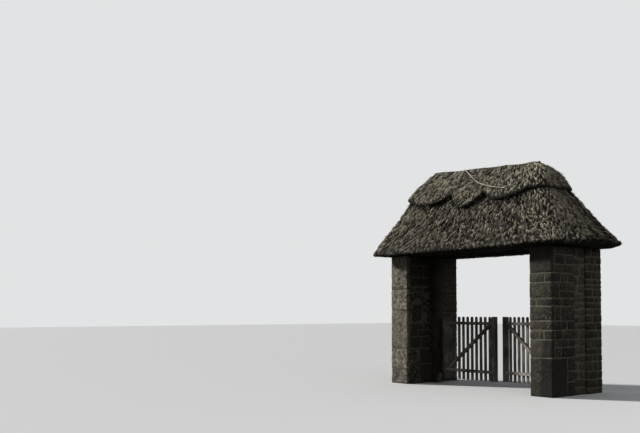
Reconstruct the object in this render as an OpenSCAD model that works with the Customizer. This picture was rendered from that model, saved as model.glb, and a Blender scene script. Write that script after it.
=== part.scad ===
// Lychgate: four stone piers, a hipped thatched roof on a timber frame,
// and a pair of picket gates hung from two oak posts.
// X runs along the road, Y into the yard, Z up. The origin is on the ground in the middle.

/* [Stonework] */
// Width over the outer faces of the side walls
span_w = 3600; // [3000:10:4400]
// Depth of the side walls, from road face to yard face
depth = 1380; // [1150:10:1700]
// Thickness of a pier, across the side wall
pier_w = 420; // [340:5:520]
// Length of a front pier along the side wall
front_pier_l = 610; // [480:5:640]
// Length of a rear pier along the side wall
rear_pier_l = 445; // [350:5:500]
// Height of the stonework under the plates
pier_h = 2380; // [2000:10:2700]
// How far the rubble panel between two piers is set back from their faces
panel_set = 20; // [5:1:40]

/* [Timber frame] */
// Width of the wall plates
plate_w = 150; // [120:5:200]
// Height of the plates and the tie beam
plate_h = 120; // [90:5:160]
// How far the plates lie in from the underside of the thatch, level with their top
plate_set = 40; // [30:5:80]
// Width of the tie beam
tie_w = 120; // [90:5:160]
// Width of the king post
king_w = 80; // [60:5:120]
// Thickness of the ridge board
ridge_t = 40; // [30:2:60]
// Depth of the ridge board
ridge_d = 150; // [110:5:200]
// Width of a rafter
rafter_w = 60; // [40:2:80]
// Depth of a rafter, square to the slope
rafter_d = 90; // [70:5:120]
// Common rafters on each long slope
rafter_n = 6; // [3:1:8]
// Rafters on each hipped end
end_rafter_n = 3; // [1:1:5]
// Thickness of a hip rafter
hip_t = 50; // [40:2:70]
// Depth of a hip rafter, upright
hip_d = 190; // [150:5:230]
// Width of a thatching batten
batten_w = 40; // [30:2:60]
// Thickness of a thatching batten
batten_t = 25; // [16:1:35]
// Distance between battens up the slope
batten_pitch = 235; // [180:5:300]
// Distance of the lowest batten up the slope from the inner edge of the eaves
first_batten = 140; // [125:5:180]

/* [Thatch] */
// Overhang of the thatch beyond the front and rear stone
eaves_out_y = 295; // [200:5:400]
// Overhang of the thatch beyond the side walls
eaves_out_x = 290; // [200:5:400]
// How far the eaves hang below the top of the plates
eaves_drop = 105; // [80:5:110]
// Height from the eaves to the top of the coat
coat_rise = 1450; // [1200:10:1700]
// Distance of the ridge's left end from the middle of the passage
ridge_left = 1220; // [800:10:1300]
// Distance of the ridge's right end from the middle of the passage
ridge_right = 1040; // [800:10:1300]
// Share of the run to the ridge that the slope covers in step with its rise; the rest rounds the top
steep = 0.8; // [0.7:0.02:1]
// How late the rounding of the top sets in
bend = 5; // [3:0.5:6]
// Thickness of the coat, measured level
coat_t = 310; // [260:5:360]
// How much lower the ridge is at its right end than at its left
ridge_fall = 110; // [0:5:160]
// Share of the hip's run that is rounded off
hip_round = 0.3; // [0.1:0.02:0.5]
// How far the lip of the eaves is rounded in underneath
lip = 45; // [20:1:70]

/* [Ridge cap] */
// Thickness of the cap over the coat
cap_t = 80; // [40:1:100]
// Where the cap's edge runs level and where its cusps lie, as a share of the way up
cusp_at = 0.69; // [0.66:0.01:0.75]
// Places of the cusps along the ridge, from the middle of the passage
cusps = [-1750, -470, 300, 1220]; // [-2000:10:1500]
// Lowest place of the scallop after each cusp
lows = [-950, -100, 630]; // [-2000:10:1500]
// How far each of those scallops drops, as a share of the slope
drops = [0.1, 0.17, 0.11]; // [0:0.01:0.2]
// How high the roll on top of the cap stands over the coat
roll_h = 100; // [60:5:140]

/* [Gate posts] */
// Width of a gate post across the passage
post_w = 137; // [100:1:170]
// Depth of a gate post along the passage
post_d = 160; // [120:5:200]
// Place of the front of the post, behind the middle of the walls
post_y = -30; // [-60:5:0]
// Width of the small stone at the foot of a post, across the passage
heel_w = 70; // [50:5:100]
// Depth of that stone along the passage
heel_d = 60; // [40:5:90]
// Height of that stone
heel_h = 180; // [100:5:250]

/* [Gates] */
// Height of the underside of a leaf above the ground
gate_low = 80; // [50:5:120]
// Height of the top of a leaf above the ground
gate_top = 1250; // [1000:10:1400]
// Gap between the two leaves when they are shut
meeting_gap = 30; // [10:2:60]
// Distance from the hinge line to the near edge of the leaf
hinge_gap = 22; // [18:1:30]
// Distance from the rear of the post to the hinge line
hinge_back = 65; // [60:1:80]
// Distance of the hinge line in from the passage side of the post
hinge_in = 14; // [10:1:30]
// Width of a stile
stile_w = 75; // [60:1:90]
// Depth of a stile
stile_d = 90; // [70:1:100]
// Height of the lower rail's underside above the ground
low_rail_z = 220; // [180:5:260]
// Height of the upper rail's underside above the ground
top_rail_z = 1100; // [850:5:1180]
// Height of a rail
rail_h = 55; // [45:1:70]
// Thickness of a rail
rail_t = 45; // [35:1:55]
// Width of the brace
brace_w = 55; // [40:1:70]
// Pickets in a leaf
picket_n = 10; // [8:1:12]
// Width of a picket
picket_w = 58; // [40:1:62]
// Thickness of a picket
picket_t = 18; // [14:1:22]
// How far the right leaf stands in towards the yard
right_open = 8; // [0:1:20]

/* [Hinges] */
// Width of a hook's square shank
shank_w = 18; // [14:1:24]
// Height of a hook's shank
shank_h = 16; // [12:1:24]
// Diameter of a hook's pin
pin_d = 16; // [12:1:20]
// Clearance between pin and eye, on the diameter
pin_fit = 2; // [1:0.5:3]
// Wall of an eye
eye_wall = 7; // [5:0.5:9]
// Height of an eye
eye_h = 40; // [30:1:60]
// Width of the tang that holds an eye to its stile
tang_w = 16; // [10:1:20]
// How far a pin stands over its eye
pin_over = 6; // [3:1:12]
// Height of the lower hook above the ground
low_hook_z = 320; // [290:5:400]
// Height of the upper hook above the ground
top_hook_z = 980; // [700:5:1040]
// Running gap under an eye
eye_seat = 0.3; // [0.2:0.1:1]

/* [Hidden] */
$fn = 48;

stone = [0.56, 0.53, 0.46];
rubble = [0.50, 0.47, 0.41];
oak = [0.30, 0.27, 0.24];
gate_oak = [0.45, 0.43, 0.40];
straw = [0.45, 0.42, 0.36];
iron = [0.16, 0.15, 0.15];

// Faces of the side walls
out_x = span_w / 2;
out_y = depth / 2;
in_x = out_x - pier_w;
panel_x = in_x + panel_set;
front_pier_y = front_pier_l - out_y;
rear_pier_y = out_y - rear_pier_l;

plate_top = pier_h + plate_h;

// The outer planes of the coat meet the level of the eaves at a0 and b0
eaves_z = plate_top - eaves_drop;
a0 = out_x + eaves_out_x;
b0 = out_y + eaves_out_y;
run_y = b0;
function ridge_x(sx) = sx < 0 ? ridge_left : ridge_right;
function run_x(sx) = a0 - ridge_x(sx);
function ratio(sx) = run_x(sx) / run_y;
pitch_y = atan(coat_rise / (steep * run_y));
function pitch_x(sx) = atan(coat_rise / (steep * run_x(sx)));
// Way of a hip in plan
function hip_way(sx) = atan(run_y / run_x(sx));
// The inner planes of the coat, parallel to its lower part, bear on the battens
coat_gap = 0.3; // fit between the coat's sides, and over the battens
b_in = b0 - coat_t;
function a_in(sx) = a0 - coat_t * ratio(sx);
rise_in = b_in * tan(pitch_y);
// Plates lie on the stone, behind the thatch and under the feet of the rafters
function plate_x(sx) = a_in(sx) - eaves_drop / tan(pitch_x(sx)) - plate_set;
plate_y = b_in - eaves_drop / tan(pitch_y) - plate_set;

// Timber under the coat
timber_gap = 0.2; // fit where a timber butts against another
mitre_gap = 1; // fit of the battens where they meet on a hip
ridge_end = 10; // from the last rafter to the end of the ridge board
rafter_pitch = (ridge_left + ridge_right - 2 * (rafter_w + ridge_end)) / (rafter_n - 1);
end_rafter_pitch = 2 * b_in / (end_rafter_n + 0.5);
batten_drop = batten_t / cos(pitch_y);
ridge_top = eaves_z + rise_in - batten_drop - ridge_t / 2 * tan(pitch_y);
frame_rise = eaves_z + rise_in - plate_top;

// Hinge lines and leaves
post_x = panel_x - post_w;
hinge_x = post_x + hinge_in;
hinge_y = post_y + post_d + hinge_back;
leaf_l = hinge_x - hinge_gap - meeting_gap / 2;
eye_r = (pin_d + pin_fit) / 2 + eye_wall;

// The coat rises in flats between these shares of its rise, and its reach is the share of the run left
cap_low = cusp_at - max(drops);
cap_high = cusp_at + 0.03;
knots = concat([0, 0.3, cap_low], [for (f = [0, 0.3, 0.55, 0.8, 1]) cap_high + (1 - cap_high) * f]);
profile = [for (k = knots) [k, 1 - steep * k - (1 - steep) * pow(k, bend)]];
function reach(t) = lookup(t, profile);
// Tilt of a side at share t of the rise, for a run of that length
function tilt(run, t) = atan(coat_rise / (run * (steep + (1 - steep) * bend * pow(t, bend - 1))));

// A point on the rounded corner of the coat, level at share t of the rise.
// turn is the way the corner faces and way the place on its curve.
function corner(way, turn, t, inset) =
    let (sx = sign(cos(turn)), sy = sign(sin(turn)), r = reach(t), rx = hip_round * run_x(sx) * r,
         ry = hip_round * run_y * r, x = ridge_x(sx) + run_x(sx) * r - inset * ratio(sx) - rx,
         y = run_y * r - inset - ry)
    [sx * x + rx * cos(way), sy * y + ry * sin(way)];
function blend(p, q, f) = p + (q - p) * f;

// Sides of the roof run anticlockwise: 0 front, 1 right, 2 rear, 3 left
arc_n = 4;
function straight_n(s) = s % 2 == 0 ? 32 : 6;
function side_way(s) = 270 + 90 * s;
// One side of the coat's outline, from hip line to hip line
function outline(s, t, inset = 0) =
    let (w = side_way(s), n = straight_n(s),
         p = corner(w, w - 45, t, inset), q = corner(w, w + 45, t, inset))
    concat([for (i = [0 : arc_n]) corner(w - 45 + 45 * i / arc_n, w - 45, t, inset)],
           [for (i = [1 : n - 1]) blend(p, q, i / n)],
           [for (i = [0 : arc_n]) corner(w + 45 * i / arc_n, w + 45, t, inset)]);
// The ridge falls to the right, so each line up the coat has its own rise
function top_x(s, j) =
    let (f = max(0, min(1, (j - arc_n) / straight_n(s))))
    s == 0 ? blend(-ridge_left, ridge_right, f) : s == 2 ? blend(ridge_right, -ridge_left, f)
    : s == 1 ? ridge_right : -ridge_left;
function coat_z(s, j, t) =
    eaves_z + t * (coat_rise + ridge_fall * (0.5 - (top_x(s, j) + ridge_left) / (ridge_left + ridge_right)));
function coat_row(s, t, inset = 0) =
    let (o = outline(s, t, inset))
    [for (j = [0 : len(o) - 1]) [o[j][0], o[j][1], coat_z(s, j, t)]];

// Rows up the rounded lip and the coat: share of the rise, and inset as a share of lip
coat_rows = concat([[0, 1], [0.012, 0.35], [0.03, 0.08], [0.06, 0]],
                   [for (i = [1 : len(knots) - 2]) [knots[i], 0]]);

// One slope of the coat, mitred on the hip lines
module coat_side(s) {
    n = straight_n(s);
    m = n + 2 * arc_n;
    long = s % 2 == 0;
    rows = len(coat_rows);
    outer = [for (r = coat_rows) each coat_row(s, r[0], r[1] * lip)];
    ridge = long ? [for (i = [0 : n]) let (x = top_x(s, i + arc_n)) [x, 0, coat_z(s, i + arc_n, 1)]]
                 : [[top_x(s, 0), 0, coat_z(s, 0, 1)]];
    sx = s == 0 || s == 3 ? -1 : 1;
    sy = s == 0 || s == 1 ? -1 : 1;
    ex = long ? -sx : sx;
    ey = long ? sy : -sy;
    inner = concat([[sx * a_in(sx), sy * b_in, eaves_z], [ex * a_in(ex), ey * b_in, eaves_z]],
                   [[ex * ridge_x(ex), 0, eaves_z + rise_in]],
                   long ? [[sx * ridge_x(sx), 0, eaves_z + rise_in]] : []);
    at_ridge = rows * (m + 1);
    at_in = at_ridge + len(ridge);
    function id(r, j) = r * (m + 1) + j;
    function top_id(j) = at_ridge + (long ? max(0, min(n, j - arc_n)) : 0);
    last = rows - 1;
    low = [for (j = [0 : m]) id(0, j)];
    left_edge = concat([for (r = [0 : last]) id(r, 0)], [top_id(0)]);
    right_edge = concat([for (r = [0 : last]) id(r, m)], [top_id(m)]);
    in_top_left = long ? at_in + 3 : at_in + 2;
    faces = concat(
        [for (r = [0 : last - 1], j = [0 : m - 1]) [id(r, j), id(r + 1, j), id(r + 1, j + 1), id(r, j + 1)]],
        [for (j = [0 : m - 1]) top_id(j) == top_id(j + 1)
            ? [id(last, j), top_id(j), id(last, j + 1)]
            : [id(last, j), top_id(j), top_id(j + 1), id(last, j + 1)]],
        [for (j = [0 : m - 1]) [low[j], low[j + 1], j < m / 2 ? at_in : at_in + 1]],
        [[low[m / 2], at_in + 1, at_in]],
        [concat([for (i = [len(left_edge) - 1 : -1 : 0]) left_edge[i]], [at_in, in_top_left])],
        [concat(right_edge, [at_in + 2, at_in + 1])],
        long ? [[at_in, at_in + 1, at_in + 2, at_in + 3]] : [[at_in, at_in + 1, at_in + 2]],
        long ? [for (i = [0 : n - 1]) [at_ridge + i + 1, at_ridge + i, at_in + 3]] : [],
        long ? [[at_ridge + n, at_in + 3, at_in + 2]] : []);
    translate(coat_gap * [cos(side_way(s)), sin(side_way(s)), 0])
        polyhedron(concat(outer, ridge, inner), faces, convexity = 4);
}
module front_thatch() color(straw) coat_side(0);
module right_thatch() color(straw) coat_side(1);
module rear_thatch() color(straw) coat_side(2);
module left_thatch() color(straw) coat_side(3);

// Lines up the coat all round the roof: side, place in the side, and way the line faces
function turn_of(j, n) =
    j < arc_n ? 45 * (j / arc_n - 1) : j > n + arc_n ? 45 * (j - n - arc_n) / arc_n : 0;
lines = [for (s = [0 : 3], j = [0 : straight_n(s) + 2 * arc_n - 1])
    [s, j, side_way(s) + turn_of(j, straight_n(s))]];
line_n = len(lines);
cusp_ring = [for (l = lines) outline(l[0], cusp_at)[l[1]]];
// Share of the rise at the lower edge of the cap: scallops between the cusps, level beyond them
function scallop(x, k) =
    let (l = cusps[k + 1] - cusps[k], u = (x - cusps[k]) / l, low = (lows[k] - cusps[k]) / l)
    u <= 0 || u >= 1 ? 0 : drops[k] * sin(180 * pow(u, ln(0.5) / ln(low)));
function edge_t(i) =
    let (x = cusp_ring[i][0]) cusp_at - scallop(x, 0) - scallop(x, 1) - scallop(x, 2);
function cap_point(i, t, lift) =
    let (l = lines[i], p = outline(l[0], t)[l[1]], a = lift + coat_gap,
         v = tilt(l[0] % 2 == 0 ? run_y : run_x(l[0] == 3 ? -1 : 1), t))
    [p[0] + a * cos(l[2]) * sin(v), p[1] + a * sin(l[2]) * sin(v), coat_z(l[0], l[1], t) + a * cos(v)];
// The cap lies this far off the coat, and its rows stop this share short of the ridge
cap_seat = 0.9;
cap_top = 0.985;
// Lines that end at the same place on the ridge share its point
long_straight = straight_n(0);
function ridge_place(i) =
    let (s = lines[i % line_n][0], j = lines[i % line_n][1] - arc_n)
    s == 0 ? max(0, min(long_straight, j)) : s == 2 ? long_straight - max(0, min(long_straight, j))
    : s == 1 ? long_straight : 0;
function ridge_points(up) = [for (i = [0 : long_straight])
    [blend(-ridge_left, ridge_right, i / long_straight), 0, coat_z(0, i + arc_n, 1) + up]];

// The cap is bent over the ridge and laid on the coat, its edge cut in scallops
module ridge_cap() {
    inner = [for (k = concat([cap_top], [for (i = [len(knots) - 2 : -1 : 3]) knots[i]]))
        [for (i = [0 : line_n - 1]) cap_point(i, k, cap_seat)]];
    edge = [[for (i = [0 : line_n - 1]) cap_point(i, edge_t(i), cap_seat)],
            [for (i = [0 : line_n - 1]) cap_point(i, edge_t(i), 0.75 * cap_t)]];
    outer = [for (f = [0, 0.25, 0.5, 0.75, 1])
        [for (i = [0 : line_n - 1]) cap_point(i, blend(edge_t(i) + 0.025, cap_top, f), cap_t)]];
    rows = concat(inner, edge, outer);
    under = ridge_points(2 * cap_seat + coat_gap);
    over = ridge_points(roll_h);
    at_under = len(rows) * line_n;
    at_over = at_under + len(under);
    function id(r, i) = r * line_n + i % line_n;
    last = len(rows) - 1;
    faces = concat(
        [for (r = [0 : last - 1], i = [0 : line_n - 1])
            [id(r, i), id(r + 1, i), id(r + 1, i + 1), id(r, i + 1)]],
        [for (i = [0 : line_n - 1]) let (p = ridge_place(i), q = ridge_place(i + 1))
            p == q ? [id(0, i), id(0, i + 1), at_under + p]
                   : [id(0, i), id(0, i + 1), at_under + q, at_under + p]],
        [for (i = [0 : line_n - 1]) let (p = ridge_place(i), q = ridge_place(i + 1))
            p == q ? [id(last, i), at_over + p, id(last, i + 1)]
                   : [id(last, i), at_over + p, at_over + q, id(last, i + 1)]]);
    color(straw) polyhedron(concat([for (r = rows) each r], under, over), faces, convexity = 6);
}

// A block of stonework between two places along a side wall; side is -1 left, 1 right
module stone_block(side, x, y0, y1) {
    mirror([side < 0 ? 1 : 0, 0, 0])
        translate([x, y0, 0])
            cube([out_x - x - (x > in_x ? panel_set : 0), y1 - y0, pier_h]);
}
module front_left_pier() color(stone) stone_block(-1, in_x, -out_y, front_pier_y);
module front_right_pier() color(stone) stone_block(1, in_x, -out_y, front_pier_y);
module rear_left_pier() color(stone) stone_block(-1, in_x, rear_pier_y, out_y);
module rear_right_pier() color(stone) stone_block(1, in_x, rear_pier_y, out_y);
module left_wall() color(rubble) stone_block(-1, panel_x, front_pier_y, rear_pier_y);
module right_wall() color(rubble) stone_block(1, panel_x, front_pier_y, rear_pier_y);

// Gate posts stand against the rubble panels, under the tie beam
module gate_post(side) {
    mirror([side < 0 ? 1 : 0, 0, 0])
        translate([post_x, post_y, 0]) cube([post_w, post_d, pier_h]);
}
module left_post() color(oak) gate_post(-1);
module right_post() color(oak) gate_post(1);
module heel_stone(side) {
    mirror([side < 0 ? 1 : 0, 0, 0])
        translate([post_x - heel_w, 0, 0])
            rotate([90, 0, 90])
                linear_extrude(height = heel_w)
                    polygon([[0, 0], [heel_d, 0], [heel_d, heel_h - heel_d / 3],
                             [heel_d * 0.75, heel_h], [heel_d * 0.25, heel_h], [0, heel_h - heel_d / 3]]);
}
module left_heel_stone() color(stone) heel_stone(-1);
module right_heel_stone() color(stone) heel_stone(1);

// Plates, tie beam, king post and ridge board
module long_plate(y) {
    translate([-plate_x(-1), y, pier_h]) cube([plate_x(-1) + plate_x(1), plate_w, plate_h]);
}
module front_plate() color(oak) long_plate(-plate_y);
module rear_plate() color(oak) long_plate(plate_y - plate_w);
module end_plate(x) {
    translate([x, plate_w - plate_y, pier_h]) cube([plate_w, 2 * (plate_y - plate_w), plate_h]);
}
module left_plate() color(oak) end_plate(-plate_x(-1));
module right_plate() color(oak) end_plate(plate_x(1) - plate_w);
module tie_beam() color(oak) {
    start = plate_w - plate_x(-1);
    translate([start, -tie_w / 2, pier_h]) cube([plate_x(1) - plate_w - start, tie_w, plate_h]);
}
module king_post() color(oak) {
    translate([-king_w / 2, -ridge_t / 2, plate_top])
        cube([king_w, ridge_t, ridge_top - ridge_d - timber_gap - plate_top]);
}
module ridge_board() color(oak) {
    translate([-ridge_left, -ridge_t / 2, ridge_top - ridge_d])
        cube([ridge_left + ridge_right, ridge_t, ridge_d]);
}

// Plan of the front slope or of an end, drawn back from the hip lines by gap
function hip_x(sx, y, gap) = ridge_x(sx) + y / tan(hip_way(sx)) - gap / sin(hip_way(sx));
module long_plan(gap) {
    near = ridge_t / 2 + timber_gap;
    far = 2 * b0;
    polygon([[-hip_x(-1, near, gap), -near], [-hip_x(-1, far, gap), -far],
             [hip_x(1, far, gap), -far], [hip_x(1, near, gap), -near]]);
}
module end_plan(sx, gap) {
    start = ridge_x(sx) + gap / sin(hip_way(sx));
    far = 2 * a0;
    yf = (far - start) * tan(hip_way(sx));
    polygon([[start, 0], [far, yf], [far, -yf]]);
}
module on_side(sx) mirror([sx < 0 ? 1 : 0, 0, 0]) children();
// Frame of a slope's inner plane: X level, Y up the slope, Z out
module on_long_slope() translate([0, -b_in, eaves_z]) rotate([pitch_y, 0, 0]) children();
module on_end_slope(sx)
    rotate([0, 0, 90]) translate([0, -a_in(sx), eaves_z]) rotate([pitch_x(sx), 0, 0]) children();
slope_l = frame_rise + coat_t + rise_in;
module rafter(at)
    translate([at - rafter_w / 2, -coat_t, -batten_t - rafter_d]) cube([rafter_w, slope_l, rafter_d]);
module over_plates()
    translate([0, 0, plate_top]) linear_extrude(height = frame_rise) children();
module long_rafters()
    intersection() {
        on_long_slope()
            for (i = [-1 : rafter_n])
                rafter(ridge_end + rafter_w / 2 - ridge_left + i * rafter_pitch);
        over_plates() long_plan(hip_t / 2 + timber_gap);
    }
// Room under the battens of both long slopes
module under_long_slopes() {
    top = rise_in - batten_drop - timber_gap;
    translate([-a0, 0, eaves_z]) rotate([90, 0, 90]) linear_extrude(height = 2 * a0)
        polygon([[0, top], [b0, top - b0 * tan(pitch_y)], [-b0, top - b0 * tan(pitch_y)]]);
}
// Room under the battens of an end slope
module under_end_slope(sx) {
    top = rise_in - batten_t / cos(pitch_x(sx)) - timber_gap;
    foot = top - run_x(sx) * tan(pitch_x(sx));
    translate([ridge_x(sx), b0, eaves_z]) rotate([90, 0, 0]) linear_extrude(height = 2 * b0)
        polygon([[0, top], [0, foot], [run_x(sx), foot]]);
}
// The middle rafter of a hipped end runs up to the end of the ridge board
module end_rafters(sx)
    intersection() {
        under_long_slopes();
        on_end_slope(sx)
            for (i = [0 : end_rafter_n - 1])
                rafter((i - (end_rafter_n - 1) / 2) * end_rafter_pitch);
        over_plates() {
            end_plan(sx, hip_t / 2 + timber_gap);
            translate([ridge_x(sx) + timber_gap, -rafter_w / 2]) square([run_x(sx), rafter_w]);
        }
    }
module front_rafters() color(oak) long_rafters();
module rear_rafters() color(oak) mirror([0, 1, 0]) long_rafters();
module left_rafters() color(oak) on_side(-1) end_rafters(-1);
module right_rafters() color(oak) on_side(1) end_rafters(1);

// Hip rafters stand upright on the corners of the plates, their tops bevelled under the battens
function hip_drop(sx) =
    max(batten_t / cos(pitch_y) + hip_t / 2 * cos(hip_way(sx)) * tan(pitch_y),
        batten_t / cos(pitch_x(sx)) + hip_t / 2 * sin(hip_way(sx)) * tan(pitch_x(sx)));
module hip_rafter(sx) {
    way = hip_way(sx);
    fall = rise_in / b_in * sin(way);
    top = eaves_z + rise_in;
    low = top - hip_drop(sx) - timber_gap - hip_d;
    foot = plate_top + timber_gap;
    start = (rafter_w / 2 + hip_t / 2 * cos(way) + timber_gap) / sin(way);
    intersection() {
        under_long_slopes();
        under_end_slope(sx);
        translate([ridge_x(sx), 0, 0]) rotate([90, 0, way]) translate([0, 0, -hip_t / 2])
            linear_extrude(height = hip_t)
                polygon([[start, top - fall * start], [(top - foot) / fall, foot],
                         [(low - foot) / fall, foot], [start, low - fall * start]]);
    }
}
module hip_rafters() color(oak)
    for (sx = [-1, 1], my = [0, 1])
        on_side(sx) mirror([0, my, 0]) hip_rafter(sx);

// Battens lie across the rafters, evenly spaced up each slope
module battens_up(l, w) {
    n = floor((l - first_batten - 2 * batten_w) / batten_pitch) + 1;
    for (i = [0 : n - 1])
        translate([-w, first_batten + batten_pitch * i, -batten_t]) cube([2 * w, batten_w, batten_t]);
}
module long_battens()
    intersection() {
        on_long_slope() battens_up(rise_in / sin(pitch_y), a0);
        over_plates() long_plan(mitre_gap);
    }
module hip_battens(sx)
    intersection() {
        on_end_slope(sx) battens_up(rise_in / sin(pitch_x(sx)), b0);
        over_plates() end_plan(sx, mitre_gap);
    }
module slope_battens() color(oak)
    for (my = [0, 1]) mirror([0, my, 0]) long_battens();
module end_battens() color(oak)
    for (sx = [-1, 1]) on_side(sx) hip_battens(sx);

// Hooks driven into the rear of the posts carry the eyes of the leaves
module hook(z) {
    translate([-shank_w / 2, -hinge_back, z - shank_h / 2])
        cube([shank_w, hinge_back + shank_w / 2, shank_h]);
    translate([0, 0, z]) cylinder(d = pin_d, h = shank_h / 2 + eye_seat + eye_h + pin_over);
}
module hooks(side) {
    mirror([side < 0 ? 1 : 0, 0, 0])
        translate([hinge_x, hinge_y, 0])
            for (z = [low_hook_z, top_hook_z]) hook(z);
}
module left_hooks() color(iron) hooks(-1);
module right_hooks() color(iron) hooks(1);

// A leaf is drawn from its hinge line: X along the leaf, Y to the yard, the rails on the road side
front = -stile_d / 2;
rail_x = hinge_gap + stile_w;
rail_l = leaf_l - 2 * stile_w;
picket_gap = (rail_l - picket_n * picket_w) / (picket_n + 1);
stile_edge = 12;
module on_left() {
    translate([-hinge_x, hinge_y, 0]) children();
}
module on_right() {
    translate([hinge_x, hinge_y, 0]) rotate([0, 0, -right_open]) mirror([1, 0, 0]) children();
}
module stile(x) {
    translate([x, front, gate_low]) rotate([90, 0, 90])
        linear_extrude(height = stile_w)
            polygon([[0, 0], [stile_d, 0], [stile_d, gate_top - gate_low - stile_edge],
                     [stile_d - stile_edge, gate_top - gate_low],
                     [stile_edge, gate_top - gate_low], [0, gate_top - gate_low - stile_edge]]);
}
module hanging_stile() stile(hinge_gap);
module meeting_stile() stile(hinge_gap + leaf_l - stile_w);
module rail(z) {
    translate([rail_x, front, z]) cube([rail_l, rail_t, rail_h]);
}
// The brace rises from the hanging side to the meeting side, between the rails
module brace() {
    zb = low_rail_z + rail_h;
    bw = brace_w / sin(atan2(top_rail_z - zb, rail_l));
    translate([rail_x, front + rail_t, 0]) rotate([90, 0, 0])
        linear_extrude(height = rail_t)
            polygon([[0, zb], [bw, zb], [rail_l, top_rail_z], [rail_l - bw, top_rail_z]]);
}
module pickets() {
    for (i = [0 : picket_n - 1])
        translate([rail_x + picket_gap + i * (picket_w + picket_gap), front + rail_t + picket_t, gate_low])
            rotate([90, 0, 0]) linear_extrude(height = picket_t) {
                square([picket_w, gate_top - gate_low - picket_w / 2]);
                translate([picket_w / 2, gate_top - gate_low - picket_w / 2]) circle(d = picket_w);
            }
}
module eye(z) {
    translate([0, 0, z]) difference() {
        union() {
            cylinder(r = eye_r, h = eye_h);
            translate([0, -tang_w / 2, 0]) cube([hinge_gap, tang_w, eye_h]);
        }
        translate([0, 0, -1]) cylinder(d = pin_d + pin_fit, h = eye_h + 2);
    }
}
module eyes() {
    for (z = [low_hook_z, top_hook_z]) eye(z + shank_h / 2 + eye_seat);
}

module left_gate_hanging_stile() color(gate_oak) on_left() hanging_stile();
module left_gate_meeting_stile() color(gate_oak) on_left() meeting_stile();
module left_gate_top_rail() color(gate_oak) on_left() rail(top_rail_z);
module left_gate_low_rail() color(gate_oak) on_left() rail(low_rail_z);
module left_gate_brace() color(gate_oak) on_left() brace();
module left_gate_pickets() color(gate_oak) on_left() pickets();
module left_gate_eyes() color(iron) on_left() eyes();
module right_gate_hanging_stile() color(gate_oak) on_right() hanging_stile();
module right_gate_meeting_stile() color(gate_oak) on_right() meeting_stile();
module right_gate_top_rail() color(gate_oak) on_right() rail(top_rail_z);
module right_gate_low_rail() color(gate_oak) on_right() rail(low_rail_z);
module right_gate_brace() color(gate_oak) on_right() brace();
module right_gate_pickets() color(gate_oak) on_right() pickets();
module right_gate_eyes() color(iron) on_right() eyes();

front_left_pier();
rear_left_pier();
left_wall();
front_right_pier();
rear_right_pier();
right_wall();
left_post();
right_post();
left_heel_stone();
right_heel_stone();
front_plate();
rear_plate();
left_plate();
right_plate();
tie_beam();
king_post();
ridge_board();
hip_rafters();
front_rafters();
rear_rafters();
left_rafters();
right_rafters();
slope_battens();
end_battens();
front_thatch();
rear_thatch();
left_thatch();
right_thatch();
ridge_cap();
left_hooks();
right_hooks();
left_gate_hanging_stile();
left_gate_meeting_stile();
left_gate_top_rail();
left_gate_low_rail();
left_gate_brace();
left_gate_pickets();
left_gate_eyes();
right_gate_hanging_stile();
right_gate_meeting_stile();
right_gate_top_rail();
right_gate_low_rail();
right_gate_brace();
right_gate_pickets();
right_gate_eyes();
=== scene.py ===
import math
import random

import bmesh
import bpy
import numpy as np
from mathutils import Matrix, Vector, noise


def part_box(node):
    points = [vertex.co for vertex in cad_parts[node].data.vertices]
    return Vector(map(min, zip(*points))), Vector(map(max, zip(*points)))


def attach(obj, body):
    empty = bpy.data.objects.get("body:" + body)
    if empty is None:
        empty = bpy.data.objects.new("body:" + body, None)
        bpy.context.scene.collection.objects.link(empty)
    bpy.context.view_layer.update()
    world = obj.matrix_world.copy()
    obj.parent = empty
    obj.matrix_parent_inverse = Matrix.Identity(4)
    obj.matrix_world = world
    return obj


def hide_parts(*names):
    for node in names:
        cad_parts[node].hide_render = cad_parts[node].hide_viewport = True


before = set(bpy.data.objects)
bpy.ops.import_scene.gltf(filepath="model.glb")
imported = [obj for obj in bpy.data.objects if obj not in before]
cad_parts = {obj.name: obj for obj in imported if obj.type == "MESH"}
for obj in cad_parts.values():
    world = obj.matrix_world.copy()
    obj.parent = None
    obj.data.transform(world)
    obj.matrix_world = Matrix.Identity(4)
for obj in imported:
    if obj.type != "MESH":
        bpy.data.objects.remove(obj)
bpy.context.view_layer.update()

# Stone piers and side walls. Squared blocks of sandstone laid in courses, with rubble between the
# piers, all bedded in lime mortar and pointed nearly flush. The blocks were dressed by hand, so
# their arrises are worn round and no two faces are quite flat.
joint = 0.018  # width of a mortar joint
pointing = 0.006  # how far the mortar lies behind the faces
arris = 0.011  # how far the edges of a block are worn round
dressing = 0.0035  # how far a dressed face strays from flat
facing = 0.09  # depth of a thin facing block
pier_height = 2.38
passage_proud = 0.0015  # how far a stone may stand out into the passage
end_proud = 0.0025  # and at the pier's outer end
other_proud = 0.003  # and elsewhere
shading_depth = 0.06  # how deep into a face the painted shading reaches
noise.seed_set(2)  # so that the worn faces come out the same each time


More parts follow.
